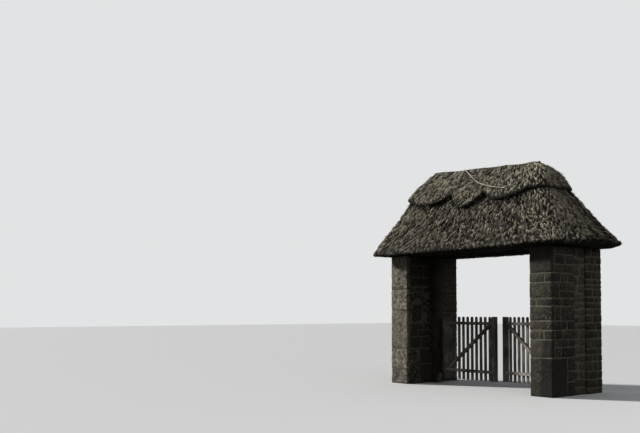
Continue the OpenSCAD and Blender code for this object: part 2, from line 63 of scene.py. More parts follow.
class Wire:
    """One socket in a tree of nodes. Sums on it add the nodes that work them out."""

    def __init__(self, tree, socket=None):
        self.tree, self.socket = tree, socket

    def node(self, kind, settings=None, sockets=None, out=0):
        """Adds any other node: its settings first, then the values or links of its sockets."""
        made = self.tree.nodes.new(kind)
        for name, value in (settings or {}).items():
            if name == "stops":
                ramp = made.color_ramp.elements
                while len(ramp) < len(value):
                    ramp.new(1)
                for stop, (place, colour) in zip(ramp, value):
                    stop.position, stop.color = place, colour
            else:
                setattr(made, name, value)
        for name, value in (sockets or {}).items():
            if isinstance(value, Wire):
                self.tree.links.new(value.socket, made.inputs[name])
            else:
                made.inputs[name].default_value = value
        return Wire(self.tree, made.outputs[out])

    def also(self, out):
        """Another output of the node that this one comes from."""
        return Wire(self.tree, self.socket.node.outputs[out])

    def sum(self, operation, first, second):
        """Adds a Math node, or a Vector Math node where a side is a vector or a colour."""
        vectors = [
            w.socket.type in ("VECTOR", "RGBA") if isinstance(w, Wire) else isinstance(w, tuple)
            for w in (first, second)]
        if not any(vectors):
            return self.node("ShaderNodeMath", {"operation": operation}, {0: first, 1: second})
        first, second = ((w,) * 3 if isinstance(w, (int, float)) else w for w in (first, second))
        return self.node("ShaderNodeVectorMath", {"operation": operation}, {0: first, 1: second})

    def __add__(self, other):
        return self.sum("ADD", self, other)

    def __radd__(self, other):
        return self.sum("ADD", other, self)

    def __sub__(self, other):
        return self.sum("SUBTRACT", self, other)

    def __rsub__(self, other):
        return self.sum("SUBTRACT", other, self)

    def __mul__(self, other):
        return self.sum("MULTIPLY", self, other)

    def __rmul__(self, other):
        return self.sum("MULTIPLY", other, self)

    def past(self, start, end):
        """0 up to start and 1 from end, smoothly between. start may be the larger."""
        sockets = {"Value": self, "From Min": start, "From Max": end}
        return self.node("ShaderNodeMapRange", {"interpolation_type": "SMOOTHSTEP"}, sockets)

    def between(self, first, second):
        """Mixes two colours by this share."""
        sockets = {0: self, 6: first, 7: second}
        return self.node("ShaderNodeMix", {"data_type": "RGBA"}, sockets, 2)

    def specks(self, scale, detail=2.0, roughness=0.5):
        """Noise of this many specks a metre, on this place."""
        sockets = {"Vector": self, "Scale": scale, "Detail": detail, "Roughness": roughness}
        return self.node("ShaderNodeTexNoise", {}, sockets)

    def cells(self, scale, feature="F1"):
        """Distance from the middles of this many cells a metre, on this place."""
        sockets = {"Vector": self, "Scale": scale}
        return self.node("ShaderNodeTexVoronoi", {"feature": feature}, sockets)

    def mark(self, name, out="Fac"):
        """A value that is stored on the piece's points."""
        return self.node("ShaderNodeAttribute", {"attribute_name": name}, {}, out)


def paint(red, green, blue):
    """A colour as it is seen on a screen, from 0 to 255."""
    shares = [c / 255 for c in (red, green, blue)]
    return (*(c / 12.92 if c <= 0.04045 else ((c + 0.055) / 1.055) ** 2.4 for c in shares), 1.0)


def new_finish(name, roughness):
    """A new finish: its material, its surface shader, and the place on the piece."""
    made = bpy.data.materials.new(name)
    made.use_nodes = True
    surface = made.node_tree.nodes["Principled BSDF"]
    surface.inputs["Roughness"].default_value = roughness
    surface.inputs["Specular IOR Level"].default_value = 0.25
    return made, surface, Wire(made.node_tree).node("ShaderNodeTexCoord", out="Object")


def dress(surface, colour, height=None, depth=0.0, roughness=None):
    """Puts a colour and a relief of that depth on a surface."""
    tree = colour.tree
    tree.links.new(colour.socket, surface.inputs["Base Color"])
    if height is not None:
        sockets = {"Height": height, "Distance": depth, "Strength": 1.0}
        bump = colour.node("ShaderNodeBump", {}, sockets, "Normal")
        tree.links.new(bump.socket, surface.inputs["Normal"])
    if roughness is not None:
        tree.links.new(roughness.socket, surface.inputs["Roughness"])


def sandstone(name, dark, light, lichen, pocked):
    """Fine-grained bedded stone, blotched by weather, with pale rings of lichen and damp feet."""
    made, surface, place = new_finish(name, 0.92)
    own, smooth, stain = place.mark("tint"), place.mark("smooth"), place.mark("stain")
    # Each block is cut from another part of the bed
    cut_from = own.node("ShaderNodeCombineXYZ", {}, {0: own * 7.0, 1: own * 3.0, 2: own * 5.0})
    shifted = place + cut_from
    blotch = shifted.specks(7.0, 5.0, 0.6)
    beds = (shifted * (2.0, 2.0, 26.0)).specks(1.6, 3.0)
    sand = place.specks(260.0, 3.0, 0.7)
    pits = place.cells(46.0, "SMOOTH_F1").past(0.5, 0.16)
    pits = pits * shifted.specks(13.0, 3.0).past(0.4, 0.58)
    # Pocks, in tone as well as in relief: painted light and shade of a pocked face
    pocks = place.specks(21.0, 3.0, 0.55)
    worn = 1.0 - smooth * 0.75
    tone = own * 0.42 + (blotch * 0.75 + beds * 0.25 - 0.5) * 1.15 * worn + 0.3
    # stain lightens or darkens the stone as painted light and shade
    tone = tone + (sand - 0.5) * 0.35 + stain + (pocks - 0.5) * pocked * worn
    grown_over = shifted.specks(3.2, 3.0).past(0.5 + 0.1 * (1 - lichen), 0.66)
    rings = place.cells(17.0).past(0.34, 0.26) * grown_over * worn
    stone = (rings * 0.6 * lichen).between(tone.between(dark, light), paint(168, 164, 148))
    # The pits are painted dark, as painted shade in them
    stone = (pits * 0.65 * worn).between(stone, paint(46, 41, 34))
    height = place.node("ShaderNodeSeparateXYZ", {}, {0: place}, 2)
    damp = height.past(0.45, 0.0) * (0.55 + 0.6 * (shifted.specks(5.0) - 0.5))
    stone = (damp * 0.6).between(stone, paint(52, 50, 40))
    relief = sand * 0.35 + blotch * 0.6 * worn + pocks * 1.6 * worn - pits * 1.4 * worn
    dress(surface, stone, relief, 0.009)
    return made


def lime_mortar():
    """Pale lime mortar with sharp sand and pebbles, green-grey where wet, darker as painted shade
    where the stones' painted shading darkens them.
    """
    made, surface, place = new_finish("lime_mortar", 0.95)
    sand = place.specks(320.0, 3.0, 0.75)
    lumps = place.specks(38.0, 4.0, 0.6)
    tone = lumps * 0.9 + (sand - 0.5) * 0.6
    lime = tone.past(0.2, 0.8).between(paint(84, 79, 67), paint(134, 127, 110))
    wet = place.specks(5.0, 4.0).past(0.42, 0.6) * 0.75
    lime = wet.between(lime, paint(84, 82, 66))
    painted_mortar_shade = (0.0 - place.mark("stain")).past(0.0, 0.45) * 0.1
    lime = painted_mortar_shade.between(lime, paint(52, 48, 40))
    dress(surface, lime, sand * 0.5 + lumps, 0.006)
    return made


# Lit and shaded copies of one sandstone: the right pier's painted dark as painted shade of trees,
# the left pier's painted pale, with stronger pocks, as painted sunlight
dressed_stone = sandstone("dressed_stone", paint(26, 23, 19), paint(96, 89, 76), 0.6, 1.4)
sunlit_stone = sandstone("left_dressed_stone", paint(56, 51, 43), paint(152, 143, 125), 1.0, 2.6)
rubble_stone = sandstone("rubble_stone", paint(36, 32, 26), paint(98, 90, 76), 0.5, 1.6)
mortar = lime_mortar()


def store(mesh, marks):
    """Stores values on a mesh, one number or one vector for each of its points."""
    for mark, values in marks.items():
        values = np.asarray(values, np.float32)
        flat = values.ndim == 1
        stored = mesh.attributes.new(mark, "FLOAT" if flat else "FLOAT_VECTOR", "POINT")
        stored.data.foreach_set("value" if flat else "vector", values.ravel())


def put(name, mesh):
    """Puts a mesh in the scene as a piece."""
    piece = bpy.data.objects.new(name, mesh)
    bpy.context.scene.collection.objects.link(piece)
    return piece


def make_piece(name, points, faces, finish, marks, soft_edge=0.9):
    """A mesh piece with values stored on its points, its faces turned outwards."""
    mesh = bpy.data.meshes.new(name)
    mesh.from_pydata([tuple(p) for p in points], [], faces)
    store(mesh, marks)
    shell = bmesh.new()
    shell.from_mesh(mesh)
    bmesh.ops.recalc_face_normals(shell, faces=shell.faces)
    shell.to_mesh(mesh)
    shell.free()
    mesh.materials.append(finish)
    mesh.shade_smooth()
    mesh.set_sharp_from_angle(angle=soft_edge)
    return put(name, mesh)


def block_shell(size, edge, step):
    """Points and faces of a block with rounded edges, its low corner at 0."""
    lines, rounds = [], [min(edge, length * 0.45) for length in size]
    for length, e in zip(size, rounds):
        n = max(1, round((length - 2 * e) / step))
        lines.append([0.0] + [e + (length - 2 * e) * i / n for i in range(n + 1)] + [length])
    counts = [len(line) - 1 for line in lines]
    known, points, faces = {}, [], []

    def point(i, j, k):
        if (i, j, k) not in known:
            known[i, j, k] = len(points)
            p = Vector((lines[0][i], lines[1][j], lines[2][k]))
            core = Vector(min(max(c, e), s - e) for c, s, e in zip(p, size, rounds))
            off = p - core
            if off.length > 1e-9:
                p = core + off.normalized() * min(rounds)
            points.append(p)
        return known[i, j, k]

    for axis in range(3):
        u, v = (axis + 1) % 3, (axis + 2) % 3
        for end in (0, counts[axis]):
            for i in range(counts[u]):
                for j in range(counts[v]):
                    ring = []
                    for du, dv in ((0, 0), (1, 0), (1, 1), (0, 1)):
                        at = [0, 0, 0]
                        at[axis], at[u], at[v] = end, i + du, j + dv
                        ring.append(point(*at))
                    faces.append(ring)
    return points, faces


class Masonry:
    """The blocks of one pier or panel. A place in it is a, across from the passage, s, along from
    its end, and z, up. end is -1 where that end looks to the road and 1 where to the yard."""

    def __init__(self, name, end, seed):
        low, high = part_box(name)
        self.name, self.end, self.side = name, end, 1 if low.x > 0 else -1
        self.inner, self.across = min(abs(low.x), abs(high.x)), high.x - low.x
        self.start, self.along = low.y if end < 0 else high.y, high.y - low.y
        self.chance = random.Random(seed)
        self.points, self.faces = [], []
        self.marks = {"tint": [], "smooth": [], "stain": []}

    def stain(self, a, s, z):
        """How much paler the stone is painted at a place, as painted light and shade. The passage
        face, under the roof, gets painted shade.
        """
        return -0.42 if a < shading_depth and s > shading_depth else 0.0

    def out(self, a, s, z):
        """From the pier's own places to the frame."""
        return Vector((self.side * (self.inner + a), self.start - self.end * s, z))

    def lay(self, a0, a1, s0, s1, z0, z1, round_off=arris, rough=dressing, step=0.09, turn=0.0,
            tint=None, smooth=0.0, gap=joint):
        """Lays one block, half a joint from its neighbours and flush with the outer faces."""
        chance = self.chance
        room = []
        for low, high, last in ((a0, a1, self.across), (s0, s1, self.along), (z0, z1, pier_height)):
            room.append((low if abs(low) < 1e-6 else low + gap / 2,
                         high if abs(high - last) < 1e-6 else high - gap / 2))
        size = [high - low for low, high in room]
        shell, faces = block_shell(size, round_off * chance.uniform(0.75, 1.3), step)
        shift = Vector((chance.uniform(-50, 50), chance.uniform(-50, 50), chance.uniform(-50, 50)))
        middle = Vector(size) / 2
        tilt = Matrix.Rotation(turn, 3, "X")
        first = len(self.points)
        for p in shell:
            stray = noise.noise_vector(p * 9 + shift) * rough
            stray += noise.noise_vector(p * 34 + shift) * rough * 0.45
            q = tilt @ (p - middle) + middle + stray
            a, s, z = (c + low for c, (low, high) in zip(q, room))
            a = min(max(a, -passage_proud), self.across + other_proud)
            s = min(max(s, -end_proud), self.along + other_proud)
            self.points.append(self.out(a, s, min(max(z, 0.0), pier_height)))
            self.marks["stain"].append(self.stain(a, s, z))
        self.faces += [[first + i for i in face] for face in faces]
        self.marks["tint"] += [chance.random() if tint is None else tint] * len(shell)
        self.marks["smooth"] += [smooth] * len(shell)

    def courses(self, a0, a1, s0, s1, z0, z1, height, length, **look):
        """Fills a room with courses of stones of about that height and length. Where the room
        goes right through the pier, it gets two leaves of them."""
        chance = self.chance
        levels = [z0]
        while levels[-1] < z1 - height * 0.5:
            levels.append(levels[-1] + height * chance.uniform(0.7, 1.35))
        levels = [z0 + (z - z0) * (z1 - z0) / (levels[-1] - z0) for z in levels]
        whole = a1 - a0 > self.across * 0.8
        for low, high in zip(levels, levels[1:]):
            middle = a0 + (a1 - a0) * chance.uniform(0.4, 0.6)
            for x0, x1 in ((a0, middle), (middle, a1)) if whole else ((a0, a1),):
                places = [s0]
                while places[-1] < s1 - length * 0.6:
                    places.append(places[-1] + length * chance.uniform(0.55, 1.5))
                places = [s0] + places[1:-1] + [s1]
                for near, far in zip(places, places[1:]):
                    self.lay(x0, x1, near, far, low, high, **look)

    def build(self, stone, slot="stone"):
        """Makes the stones and the mortar round them, and puts them in the node's stead."""
        stones = make_piece(self.name + "_stones", self.points, self.faces, stone, self.marks)
        size = (self.across - 2 * pointing, self.along - 2 * pointing, pier_height)
        shell, faces = block_shell(size, 0.004, 0.05)
        points, painted_shadings = [], []
        for p in shell:
            q = p + noise.noise_vector(p * 21 + Vector((self.side * 9, self.end * 5, 0))) * 0.003
            place = self.out(q.x + pointing, q.y + pointing, min(max(q.z, 0), pier_height))
            points.append(place)
            painted_shadings.append(self.stain(q.x, q.y, q.z))
        bed = make_piece(self.name + "_mortar", points, faces, mortar, {"stain": painted_shadings})
        for piece, finish_slot in ((stones, slot), (bed, "stone")):
            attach(piece, "frame")
        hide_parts(self.name)


# The right front pier. A tall base block and eight courses of squared sandstone, most of them one
# long stone to the road, with smaller stones bedded behind. The outer part of its road face is
# painted darker as painted shadow of trees, and its feet have gone dark with damp.
right_front = Masonry("front_right_pier", -1, 11)
across, along = right_front.across, right_front.along
half = across / 2


def painted_tree_shadow(a, s, z):
    """Painted shadow of trees: darker towards the outer side, and nearly even at the top."""
    dark = min(max((a - 0.16 - 0.05 * z) / 0.06, 0), 1)
    return (0.02 - 0.42 * dark) * min(max((2.4 - z) / 1.4, 0.3), 1)


right_front.stain = painted_tree_shadow
# The pale column also paints shade: the top courses darker, as painted shade under the eaves
for z0, z1, deep, cuts, tint, smooth in (  # from, up to, depth, joints in it, how pale, how smooth
    (0.0, 0.616, 0.41, (), 0.1, 0.3),
    (0.616, 0.903, facing, (), 0.5, 0.9),
    (0.903, 1.05, facing, (0.62,), 0.5, 0.0),
    (1.05, 1.194, 0.26, (), 0.4, 0.0),
    (1.194, 1.43, facing, (), 0.35, 0.0),
    (1.43, 1.556, 0.26, (0.3,), 0.3, 0.1),
    (1.556, 1.808, 0.22, (), 0.3, 0.0),
    (1.808, 1.955, 0.25, (0.667,), 0.0, 0.2),
    (1.955, pier_height, facing, (), -0.1, 0.8),
):
    edges = (0.0,) + cuts + (1.0,)
    for i, (e0, e1) in enumerate(zip(edges, edges[1:])):
        # In a cut course the passage-side stone is painted lighter and the rest darker, as painted
        # light and shadow
        shade = tint + (0.3 if i == 0 else -0.12) * (len(cuts) > 0)
        shade = min(max(shade + right_front.chance.uniform(-0.08, 0.08), 0), 1)
        right_front.lay(e0 * across, e1 * across, 0, deep, z0, z1,
                        rough=0.006, step=0.045, tint=shade, smooth=smooth)
    tall = z1 - z0
    behind = max(0.12, tall * (0.36 if tall > 0.24 else 0.8))  # height of the stones behind
    right_front.courses(0, across, deep, along, z0, z1, behind, 0.26)
right_front.build(dressed_stone)

# The left front pier. Tall facing slabs of sandstone to the road, and in the passage a big
# boulder built in under an arch of small stones. The passage-side stones are tinted dark as
# painted shade under the roof, the boulder darkest.
base_top, base_deep = 0.653, 0.33
left_front = Masonry("front_left_pier", -1, 12)
drawn = left_front.chance.uniform
slab = {"rough": 0.009, "step": 0.025}
left_front.lay(0, across, 0, base_deep, 0, base_top, tint=0.5, **slab)
for z0, z1, smooth in ((base_top, 1.37, 0.5), (1.37, 1.755, 0.0), (1.755, pier_height, 0.1)):
    left_front.lay(0, across, 0, facing, z0, z1, tint=drawn(0.45, 0.7), smooth=smooth, **slab)
# the passage half of the base is tinted dark, as painted shade
left_front.courses(0, half, base_deep, along, 0, base_top, 0.32, 0.3, smooth=0.6, tint=-0.5)
left_front.courses(half, across, base_deep, along, 0, base_top, 0.2, 0.26)
left_front.courses(half, across, facing, along, base_top, pier_height, 0.19, 0.28)
# the passage-side stones are tinted dark, as painted shade
for s0, s1, z0, z1, smooth in (  # squared stones over the base and over the arch
    (facing, 0.36, base_top, 0.878, 0.7), (0.36, along, base_top, 0.878, 0.7),
    (facing, 0.3, 0.878, 1.131, 0.6), (0.3, 0.44, 1.0, 1.131, 0), (0.44, along, 1.0, 1.131, 0),
    (0.3, along, 0.878, 1.0, 0), (facing, along, 1.815, 1.985, 0.8),
    (facing, 0.45, 1.985, 2.2, 0.9), (0.45, along, 1.985, 2.2, 0.6),
    (facing, along, 2.2, pier_height, 0.5),
):
    left_front.lay(0, half, s0, s1, z0, z1, smooth=smooth, tint=drawn(-0.8, -0.3))
left_front.lay(0, half, 0.105, 0.435, 1.125, 1.515,  # the boulder, tinted darkest as painted shade
               round_off=0.048, rough=0.01, step=0.035, tint=-1.3, gap=0.01)
arch_at, arch_run, arch_rise = (0.275, 1.4), 0.215, 0.25
for i in range(8):
    way = math.radians(186 - 27.5 * i)
    s, z = arch_at[0] + arch_run * math.cos(way), arch_at[1] + arch_rise * math.sin(way)
    left_front.lay(0, half, s - 0.05, s + 0.05, z - 0.066, z + 0.066, round_off=0.012, rough=0.005,
                   step=0.05, turn=way - math.pi / 2, gap=0.02, tint=drawn(-0.6, 0.1))
for s0, s1, z0, z1 in (  # small stones round the arch
    (0.52, along, 1.14, 1.24), (0.53, along, 1.25, 1.36), (0.53, along, 1.37, 1.5),
    (0.5, along, 1.51, 1.6), (0.45, along, 1.7, 1.8), (facing, 0.2, 1.7, 1.8),
    (facing, 0.16, 1.6, 1.69), (0.22, 0.43, 1.73, 1.8),
):
    left_front.lay(0, half, s0, s1, z0, z1, round_off=0.011, rough=0.005, step=0.06, gap=0.018,
                   tint=drawn(-0.6, 0.1))
left_front.build(sunlit_stone)

# The rear piers. Low courses of sandstone rubble in lime mortar, with one course of larger stones
# in each.
coursed = {"round_off": 0.014, "rough": 0.005}
for name, seed, low, high in (
        ("rear_left_pier", 13, 1.32, 1.457), ("rear_right_pier", 14, 0.74, 0.9)):
    pier = Masonry(name, 1, seed)
    if pier.side < 0:
        pier.stain = lambda a, s, z: 0.45 * (a < shading_depth)  # the sun reaches it through the passage
    else:
        # painted shade on its outer side
        pier.stain = lambda a, s, z: -0.3 * (a > 0.3)
    pier.courses(0, across, 0, pier.along, 0, low, 0.125, 0.2, **coursed)
    for a0, a1, cut, tint in ((0, half, 0.33, 0.3), (half, across, 0.2, None)):
        pier.lay(a0, a1, 0, cut, low, high, tint=tint)
        pier.lay(a0, a1, cut, pier.along, low, high)
    pier.courses(0, across, 0, pier.along, high, pier_height, 0.105, 0.18, **coursed)
    pier.build(rubble_stone)

# The panels between the piers. Small round rubble in thick lime mortar, built up against the
# piers on both sides.
for name, seed in (("left_wall", 15), ("right_wall", 16)):
    panel = Masonry(name, -1, seed)
    panel.courses(0, panel.across, 0, panel.along, 0, pier_height, 0.13, 0.19,
                  round_off=0.022, rough=0.009, step=0.05, gap=0.016)
    panel.build(rubble_stone, "rubble")

# Gate posts and the roof's timbers. Sawn and hewn oak, pegged together and left to weather: the
# arrises have worn off, the faces have moved as they dried, and checks run along the grain.
sharp_edge = 0.6  # angle in radians from which an edge is an arris


def weathered_oak(name, dark, light, silver, check_depth):
    """Oak gone dark, with long fibres, rings on its ends and open checks along the grain."""
    made, surface, place = new_finish(name, 0.8)
    grain = place.mark("grain", "Vector")
    fibre = (grain * (5.0, 190.0, 190.0)).specks(1.0, 3.0, 0.6)
    swirl = (grain * (1.4, 9.0, 9.0)).specks(1.0, 2.0).also("Color")
    wavy = (grain + (swirl - (0.5, 0.5, 0.5)) * 0.03) * (0.02, 1.0, 1.0)
    heart = wavy.node("ShaderNodeVectorMath", {"operation": "LENGTH"}, {0: wavy}, "Value")
    rings = heart.node("ShaderNodeMath", {"operation": "SINE"}, {0: heart * 760.0})
    checks = (grain * (1.6, 34.0, 34.0)).specks(1.0, 2.0, 0.4).past(0.402, 0.385)
    checks = checks * (grain * (0.9, 3.0, 3.0)).specks(1.0).past(0.42, 0.56)
    weather = place.specks(2.6, 5.0, 0.6)
    tone = (fibre - 0.5) * 1.5 + rings * 0.12 + weather * 0.9
    wood = tone.past(0.0, 1.0).between(dark, light)
    wood = (weather.past(0.44, 0.66) * 0.55).between(wood, silver)
    wood = (checks * 0.85).between(wood, paint(18, 15, 13))
    relief = fibre * 0.5 + rings * 0.12 - checks * check_depth
    dress(surface, wood, relief, 0.0025, 0.95 - weather * 0.25)
    return made


frame_oak = weathered_oak("frame_oak", paint(26, 22, 19), paint(54, 47, 40), paint(64, 59, 53), 3.0)


def sticks_of(node):
    """The separate timbers of a frame node, each as a clean mesh to work on."""
    whole = bmesh.new()
    whole.from_mesh(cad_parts[node].data)
    bmesh.ops.remove_doubles(whole, verts=whole.verts, dist=1e-5)
    bmesh.ops.dissolve_limit(
        whole, angle_limit=math.radians(1), verts=whole.verts, edges=whole.edges)
    whole.faces.index_update()  # so that the timbers come in the same order each time
    left = set(whole.faces)
    while left:
        found, edge = set(), [min(left, key=lambda f: f.index)]
        while edge:
            face = edge.pop()
            if face in left:
                left.remove(face)
                found.add(face)
                edge += [n for e in face.edges for n in e.link_faces if n in left]
        stick, known = bmesh.new(), {}
        for face in sorted(found, key=lambda f: f.index):
            for v in face.verts:
                if v not in known:
                    known[v] = stick.verts.new(v.co)
            stick.faces.new([known[v] for v in face.verts])
        yield stick
    whole.free()


def worn_timber(node, finish, arris, stray, step, seed, body="frame", kind="_oak"):
    """A frame node's timbers with worn arrises and bowed faces, their grain stored on them."""
    chance = random.Random(seed)
    points, faces, grain = [], [], []
    for stick in sticks_of(node):
        longest = max(stick.edges, key=lambda e: e.calc_length())
        along = (longest.verts[1].co - longest.verts[0].co).normalized()
        sides = (f for f in stick.faces if abs(f.normal.dot(along)) < 0.3)
        broad = max(sides, key=lambda f: f.calc_area())
        stick.normal_update()
        side = along.cross(broad.normal).normalized()
        out = side.cross(along).normalized()
        middle = sum((v.co for v in stick.verts), Vector()) / len(stick.verts)
        sharp = [e for e in stick.edges
                 if len(e.link_faces) == 2 and e.calc_face_angle() > sharp_edge]
        bmesh.ops.bevel(stick, geom=sharp, offset=arris, segments=2, profile=0.5,
                        affect="EDGES", clamp_overlap=True)
        spans = [(v.co - middle).dot(along) for v in stick.verts]
        start, length = min(spans), max(spans) - min(spans)
        count = max(2, round(length / step))
        for i in range(1, count):
            at = middle + along * (start + length * i / count)
            everything = stick.verts[:] + stick.edges[:] + stick.faces[:]
            bmesh.ops.bisect_plane(stick, geom=everything, plane_co=at, plane_no=along)
        shift = Vector(
            (chance.uniform(-40, 40), chance.uniform(-0.03, 0.03), chance.uniform(-0.03, 0.03)))
        first = len(points)
        stick.verts.index_update()
        for v in stick.verts:
            local = v.co - middle
            ways = (along, side, out)
            grain.append(tuple(local.dot(way) + moved for way, moved in zip(ways, shift)))
            bow = noise.noise_vector(v.co * 3.1 + shift) * stray
            points.append(v.co + bow + noise.noise_vector(v.co * 17 + shift) * stray * 0.5)
        faces += [[first + v.index for v in f.verts] for f in stick.faces]
        stick.free()
    piece = make_piece(node + kind, points, faces, finish, {"grain": grain})
    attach(piece, body)
    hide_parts(node)


long_timbers = ("front_plate", "rear_plate", "left_plate", "right_plate",
                "tie_beam", "king_post", "ridge_board")
rafters = ("hip_rafters", "front_rafters", "rear_rafters", "left_rafters", "right_rafters")
for seed, worn, stray, step, nodes in (  # how far arrises are worn, how far faces stray from flat
    (20, 0.009, 0.004, 0.13, ("left_post", "right_post")),
    (30, 0.008, 0.003, 0.13, long_timbers),
    (40, 0.006, 0.003, 0.2, rafters),
    (50, 0.003, 0.001, 0.3, ("slope_battens", "end_battens")),
):
    for i, node in enumerate(nodes):
        worn_timber(node, frame_oak, worn, stray, step, seed + i)

# The heel stones. A small block of pale sandstone, painted paler still as painted light, stands on
# the ground against the foot of each gate post, its edges knocked round.
heel_stone = sandstone("heel_stone", paint(92, 86, 74), paint(188, 180, 162), 1.0, 1.6)
for seed, node in ((60, "left_heel_stone"), (61, "right_heel_stone")):
    worn_timber(node, heel_stone, 0.014, 0.006, 0.04, seed, kind="_worn")

# The thatch coat. Long straw laid up the slopes in bundles from the eaves and combed down, thick
# enough to keep its round hips. It has weathered to a dull brown-grey, in tufts that stand proud
# with hollows between them, painted pale and dark as painted light and shade.
eaves_z = 2.395
rise = 1.45  # from the eaves to the top of the coat
fall = 0.11  # how much lower the ridge is at its right end
ridge_at = (-1.22, 1.04)
eaves_out = 2.09  # from the middle to the eaves at either end
run_front = 0.985
straight_long, straight_short = 3.6, 1.38  # lengths of the eaves between their round corners
arc_length = 0.24  # of half a corner
steep, bend = 0.8, 5  # the slopes go straight up for most of the rise, then bend in to the ridge
hip_round = 0.3  # how much of the run the round of a hip takes up
coat_thick = 0.31
lip = 0.045  # how far the lower edge of the eaves is cut back
column = 0.018  # distance between the lines up the coat at the eaves
slope_length = 1.75
tuft_rise = 0.024  # how far a tuft stands proud of the hollow beside it

# Lines up the coat, all round from the left end of the front. Each lies at a share of the way from
# one place on the eaves to the next, and a place is a way round one of the four corners.
lines = []
for side in range(4):
    way = 270 + 90 * side
    straight = round((straight_short if side % 2 else straight_long) / column)
    arc = round(arc_length / column)
    lines += [(side, way - 45 + 45 * i / arc, way - 45, way, way + 45, 0) for i in range(arc)]
    lines += [(side, way, way - 45, way, way + 45, i / straight) for i in range(straight)]
    lines += [(side, way + 45 * i / arc, way + 45, way, way + 45, 0) for i in range(arc)]
line_n = len(lines)
line_side, way_from, corner_from, way_to, corner_to, line_share = np.array(lines, float).T

# Where on the ridge each line ends, and how high
on_straight = (way_from == way_to) & (corner_from < way_to)
ridge_run = ridge_at[1] - ridge_at[0]
crest_x = np.select(
    [on_straight & (line_side == 0), on_straight & (line_side == 2)],
    [ridge_at[0] + ridge_run * line_share, ridge_at[1] - ridge_run * line_share],
    np.where(np.cos(np.radians(corner_from)) < 0, ridge_at[0], ridge_at[1]))
top_share = (crest_x - ridge_at[0]) / ridge_run
crest_z = eaves_z + rise + fall * (0.5 - top_share)


def corner(way, turn, share, inset):
    """Places at a way round the rounded corner that looks to turn, at a share of the rise."""
    sx, sy = np.sign(np.cos(np.radians(turn))), np.sign(np.sin(np.radians(turn)))
    ridge = np.where(sx < 0, -ridge_at[0], ridge_at[1])
    run = eaves_out - ridge
    reach = 1 - steep * share - (1 - steep) * share**bend
    sharper = np.interp(share, (0, 0.4), (0.3, 1))  # towards the eaves
    rounding = hip_round * sharper * reach
    rx, ry = rounding * run, rounding * run_front
    x = ridge + run * reach - inset * run / run_front - rx
    y = run_front * reach - inset - ry
    return sx * x + rx * np.cos(np.radians(way)), sy * y + ry * np.sin(np.radians(way))


def coat_at(share, inset=0.0):
    """Points of the smooth coat at a share of the rise (rows by lines)."""
    share = np.broadcast_to(share, (np.shape(share)[0], line_n))
    x0, y0 = corner(way_from, corner_from, share, inset)
    x1, y1 = corner(way_to, corner_to, share, inset)
    x, y = x0 + (x1 - x0) * line_share, y0 + (y1 - y0) * line_share
    # The eaves have sprung up at the right end, most of all towards the rear
    sprung = np.select([line_side == 0, line_side == 1, line_side == 2], [
        np.interp(x, (0, 1.12, 1.6, 2.06), (0, 0.013, 0.033, 0.04)),
        np.interp(y, (-0.96, -0.5, 0.3, 0.96), (0.04, 0.07, 0.11, 0.05)),
        np.interp(x, (0, 2.06), (0, 0.05))], 0.0)
    sprung = sprung * np.clip(1 - share / 0.5, 0, 1) ** 2
    z = eaves_z + share * (rise + fall * (0.5 - top_share)) + sprung
    return np.stack([x, y, z], axis=-1)


def outward(grid):
    """Normals of a grid that closes on itself along its lines, and the way down it."""
    across = np.roll(grid, -1, axis=1) - np.roll(grid, 1, axis=1)
    down = -np.gradient(grid, axis=0)
    normal = np.cross(-down, -across)
    normal /= np.linalg.norm(normal, axis=2, keepdims=True) + 1e-12
    down /= np.linalg.norm(down, axis=2, keepdims=True) + 1e-12
    return normal, down


ring = coat_at(np.array([[0.3]]))[0]  # once round the coat
ring_run = np.concatenate([[0], np.cumsum(np.linalg.norm(np.diff(ring, axis=0), axis=1))])
ring_radius = (ring_run[-1] + column) / (2 * math.pi)


def lay_of(rows):
    """Places on the coat, across and down in metres, wrapped round so that the ends meet."""
    turn = ring_run / ring_radius
    lay = np.zeros((len(rows), line_n, 3))
    lay[..., 0], lay[..., 1] = ring_radius * np.cos(turn), ring_radius * np.sin(turn)
    lay[..., 2] = rows
    return lay


def ripple(lay, across, down, seed):
    """Noise of so many swells a metre across and down the straw, at each point of a grid."""
    stretch = np.array([across, across, down])
    flat = [noise.noise(Vector(p)) for p in (lay * stretch + seed).reshape(-1, 3)]
    return np.array(flat).reshape(lay.shape[:2])


def tufts_on(lay, seed, slender=1.0):
    """How far each place belongs to a proud tuft (1) or to a hollow (0): partly the straw's own
    tone and partly painted light and shade.
    """
    field = ripple(lay, 11 * slender, 4.6, seed) * 0.3 + ripple(lay, 36, 15, seed + 9) * 1.05
    return np.clip(0.5 + 2.1 * field, 0, 1)


def weathered_straw(name, deep, dull, pale, moss):
    """Old straw: darker where its shade mark is low, as painted shade in the hollows, paler at the
    tips, blotched with moss and algae.
    """
    made, surface, place = new_finish(name, 0.95)
    shade, straw, tip = place.mark("shade"), place.mark("straw"), place.mark("tip")
    fibre = (place.mark("lay", "Vector") * (150.0, 150.0, 12.0)).specks(1.0, 3.0, 0.65)
    patch = place.specks(1.7, 5.0, 0.62)
    tone = shade * 1.35 + (straw - 0.5) * 0.7 + tip * 0.14
    tone = tone + (fibre - 0.5) * 0.6 + (patch - 0.5) * 0.35 - 0.29
    stops = [(0.05, deep), (0.45, dull), (0.95, pale)]
    old = tone.node("ShaderNodeValToRGB", {"stops": stops}, {0: tone})
    green = place.specks(3.1, 5.0, 0.65).past(0.5, 0.68) * moss
    dress(surface, green.between(old, paint(66, 67, 46)), fibre, 0.003)
    return made


coat_straw = weathered_straw(
    "coat_straw", paint(24, 20, 16), paint(114, 105, 89), paint(206, 196, 173), 0.35)


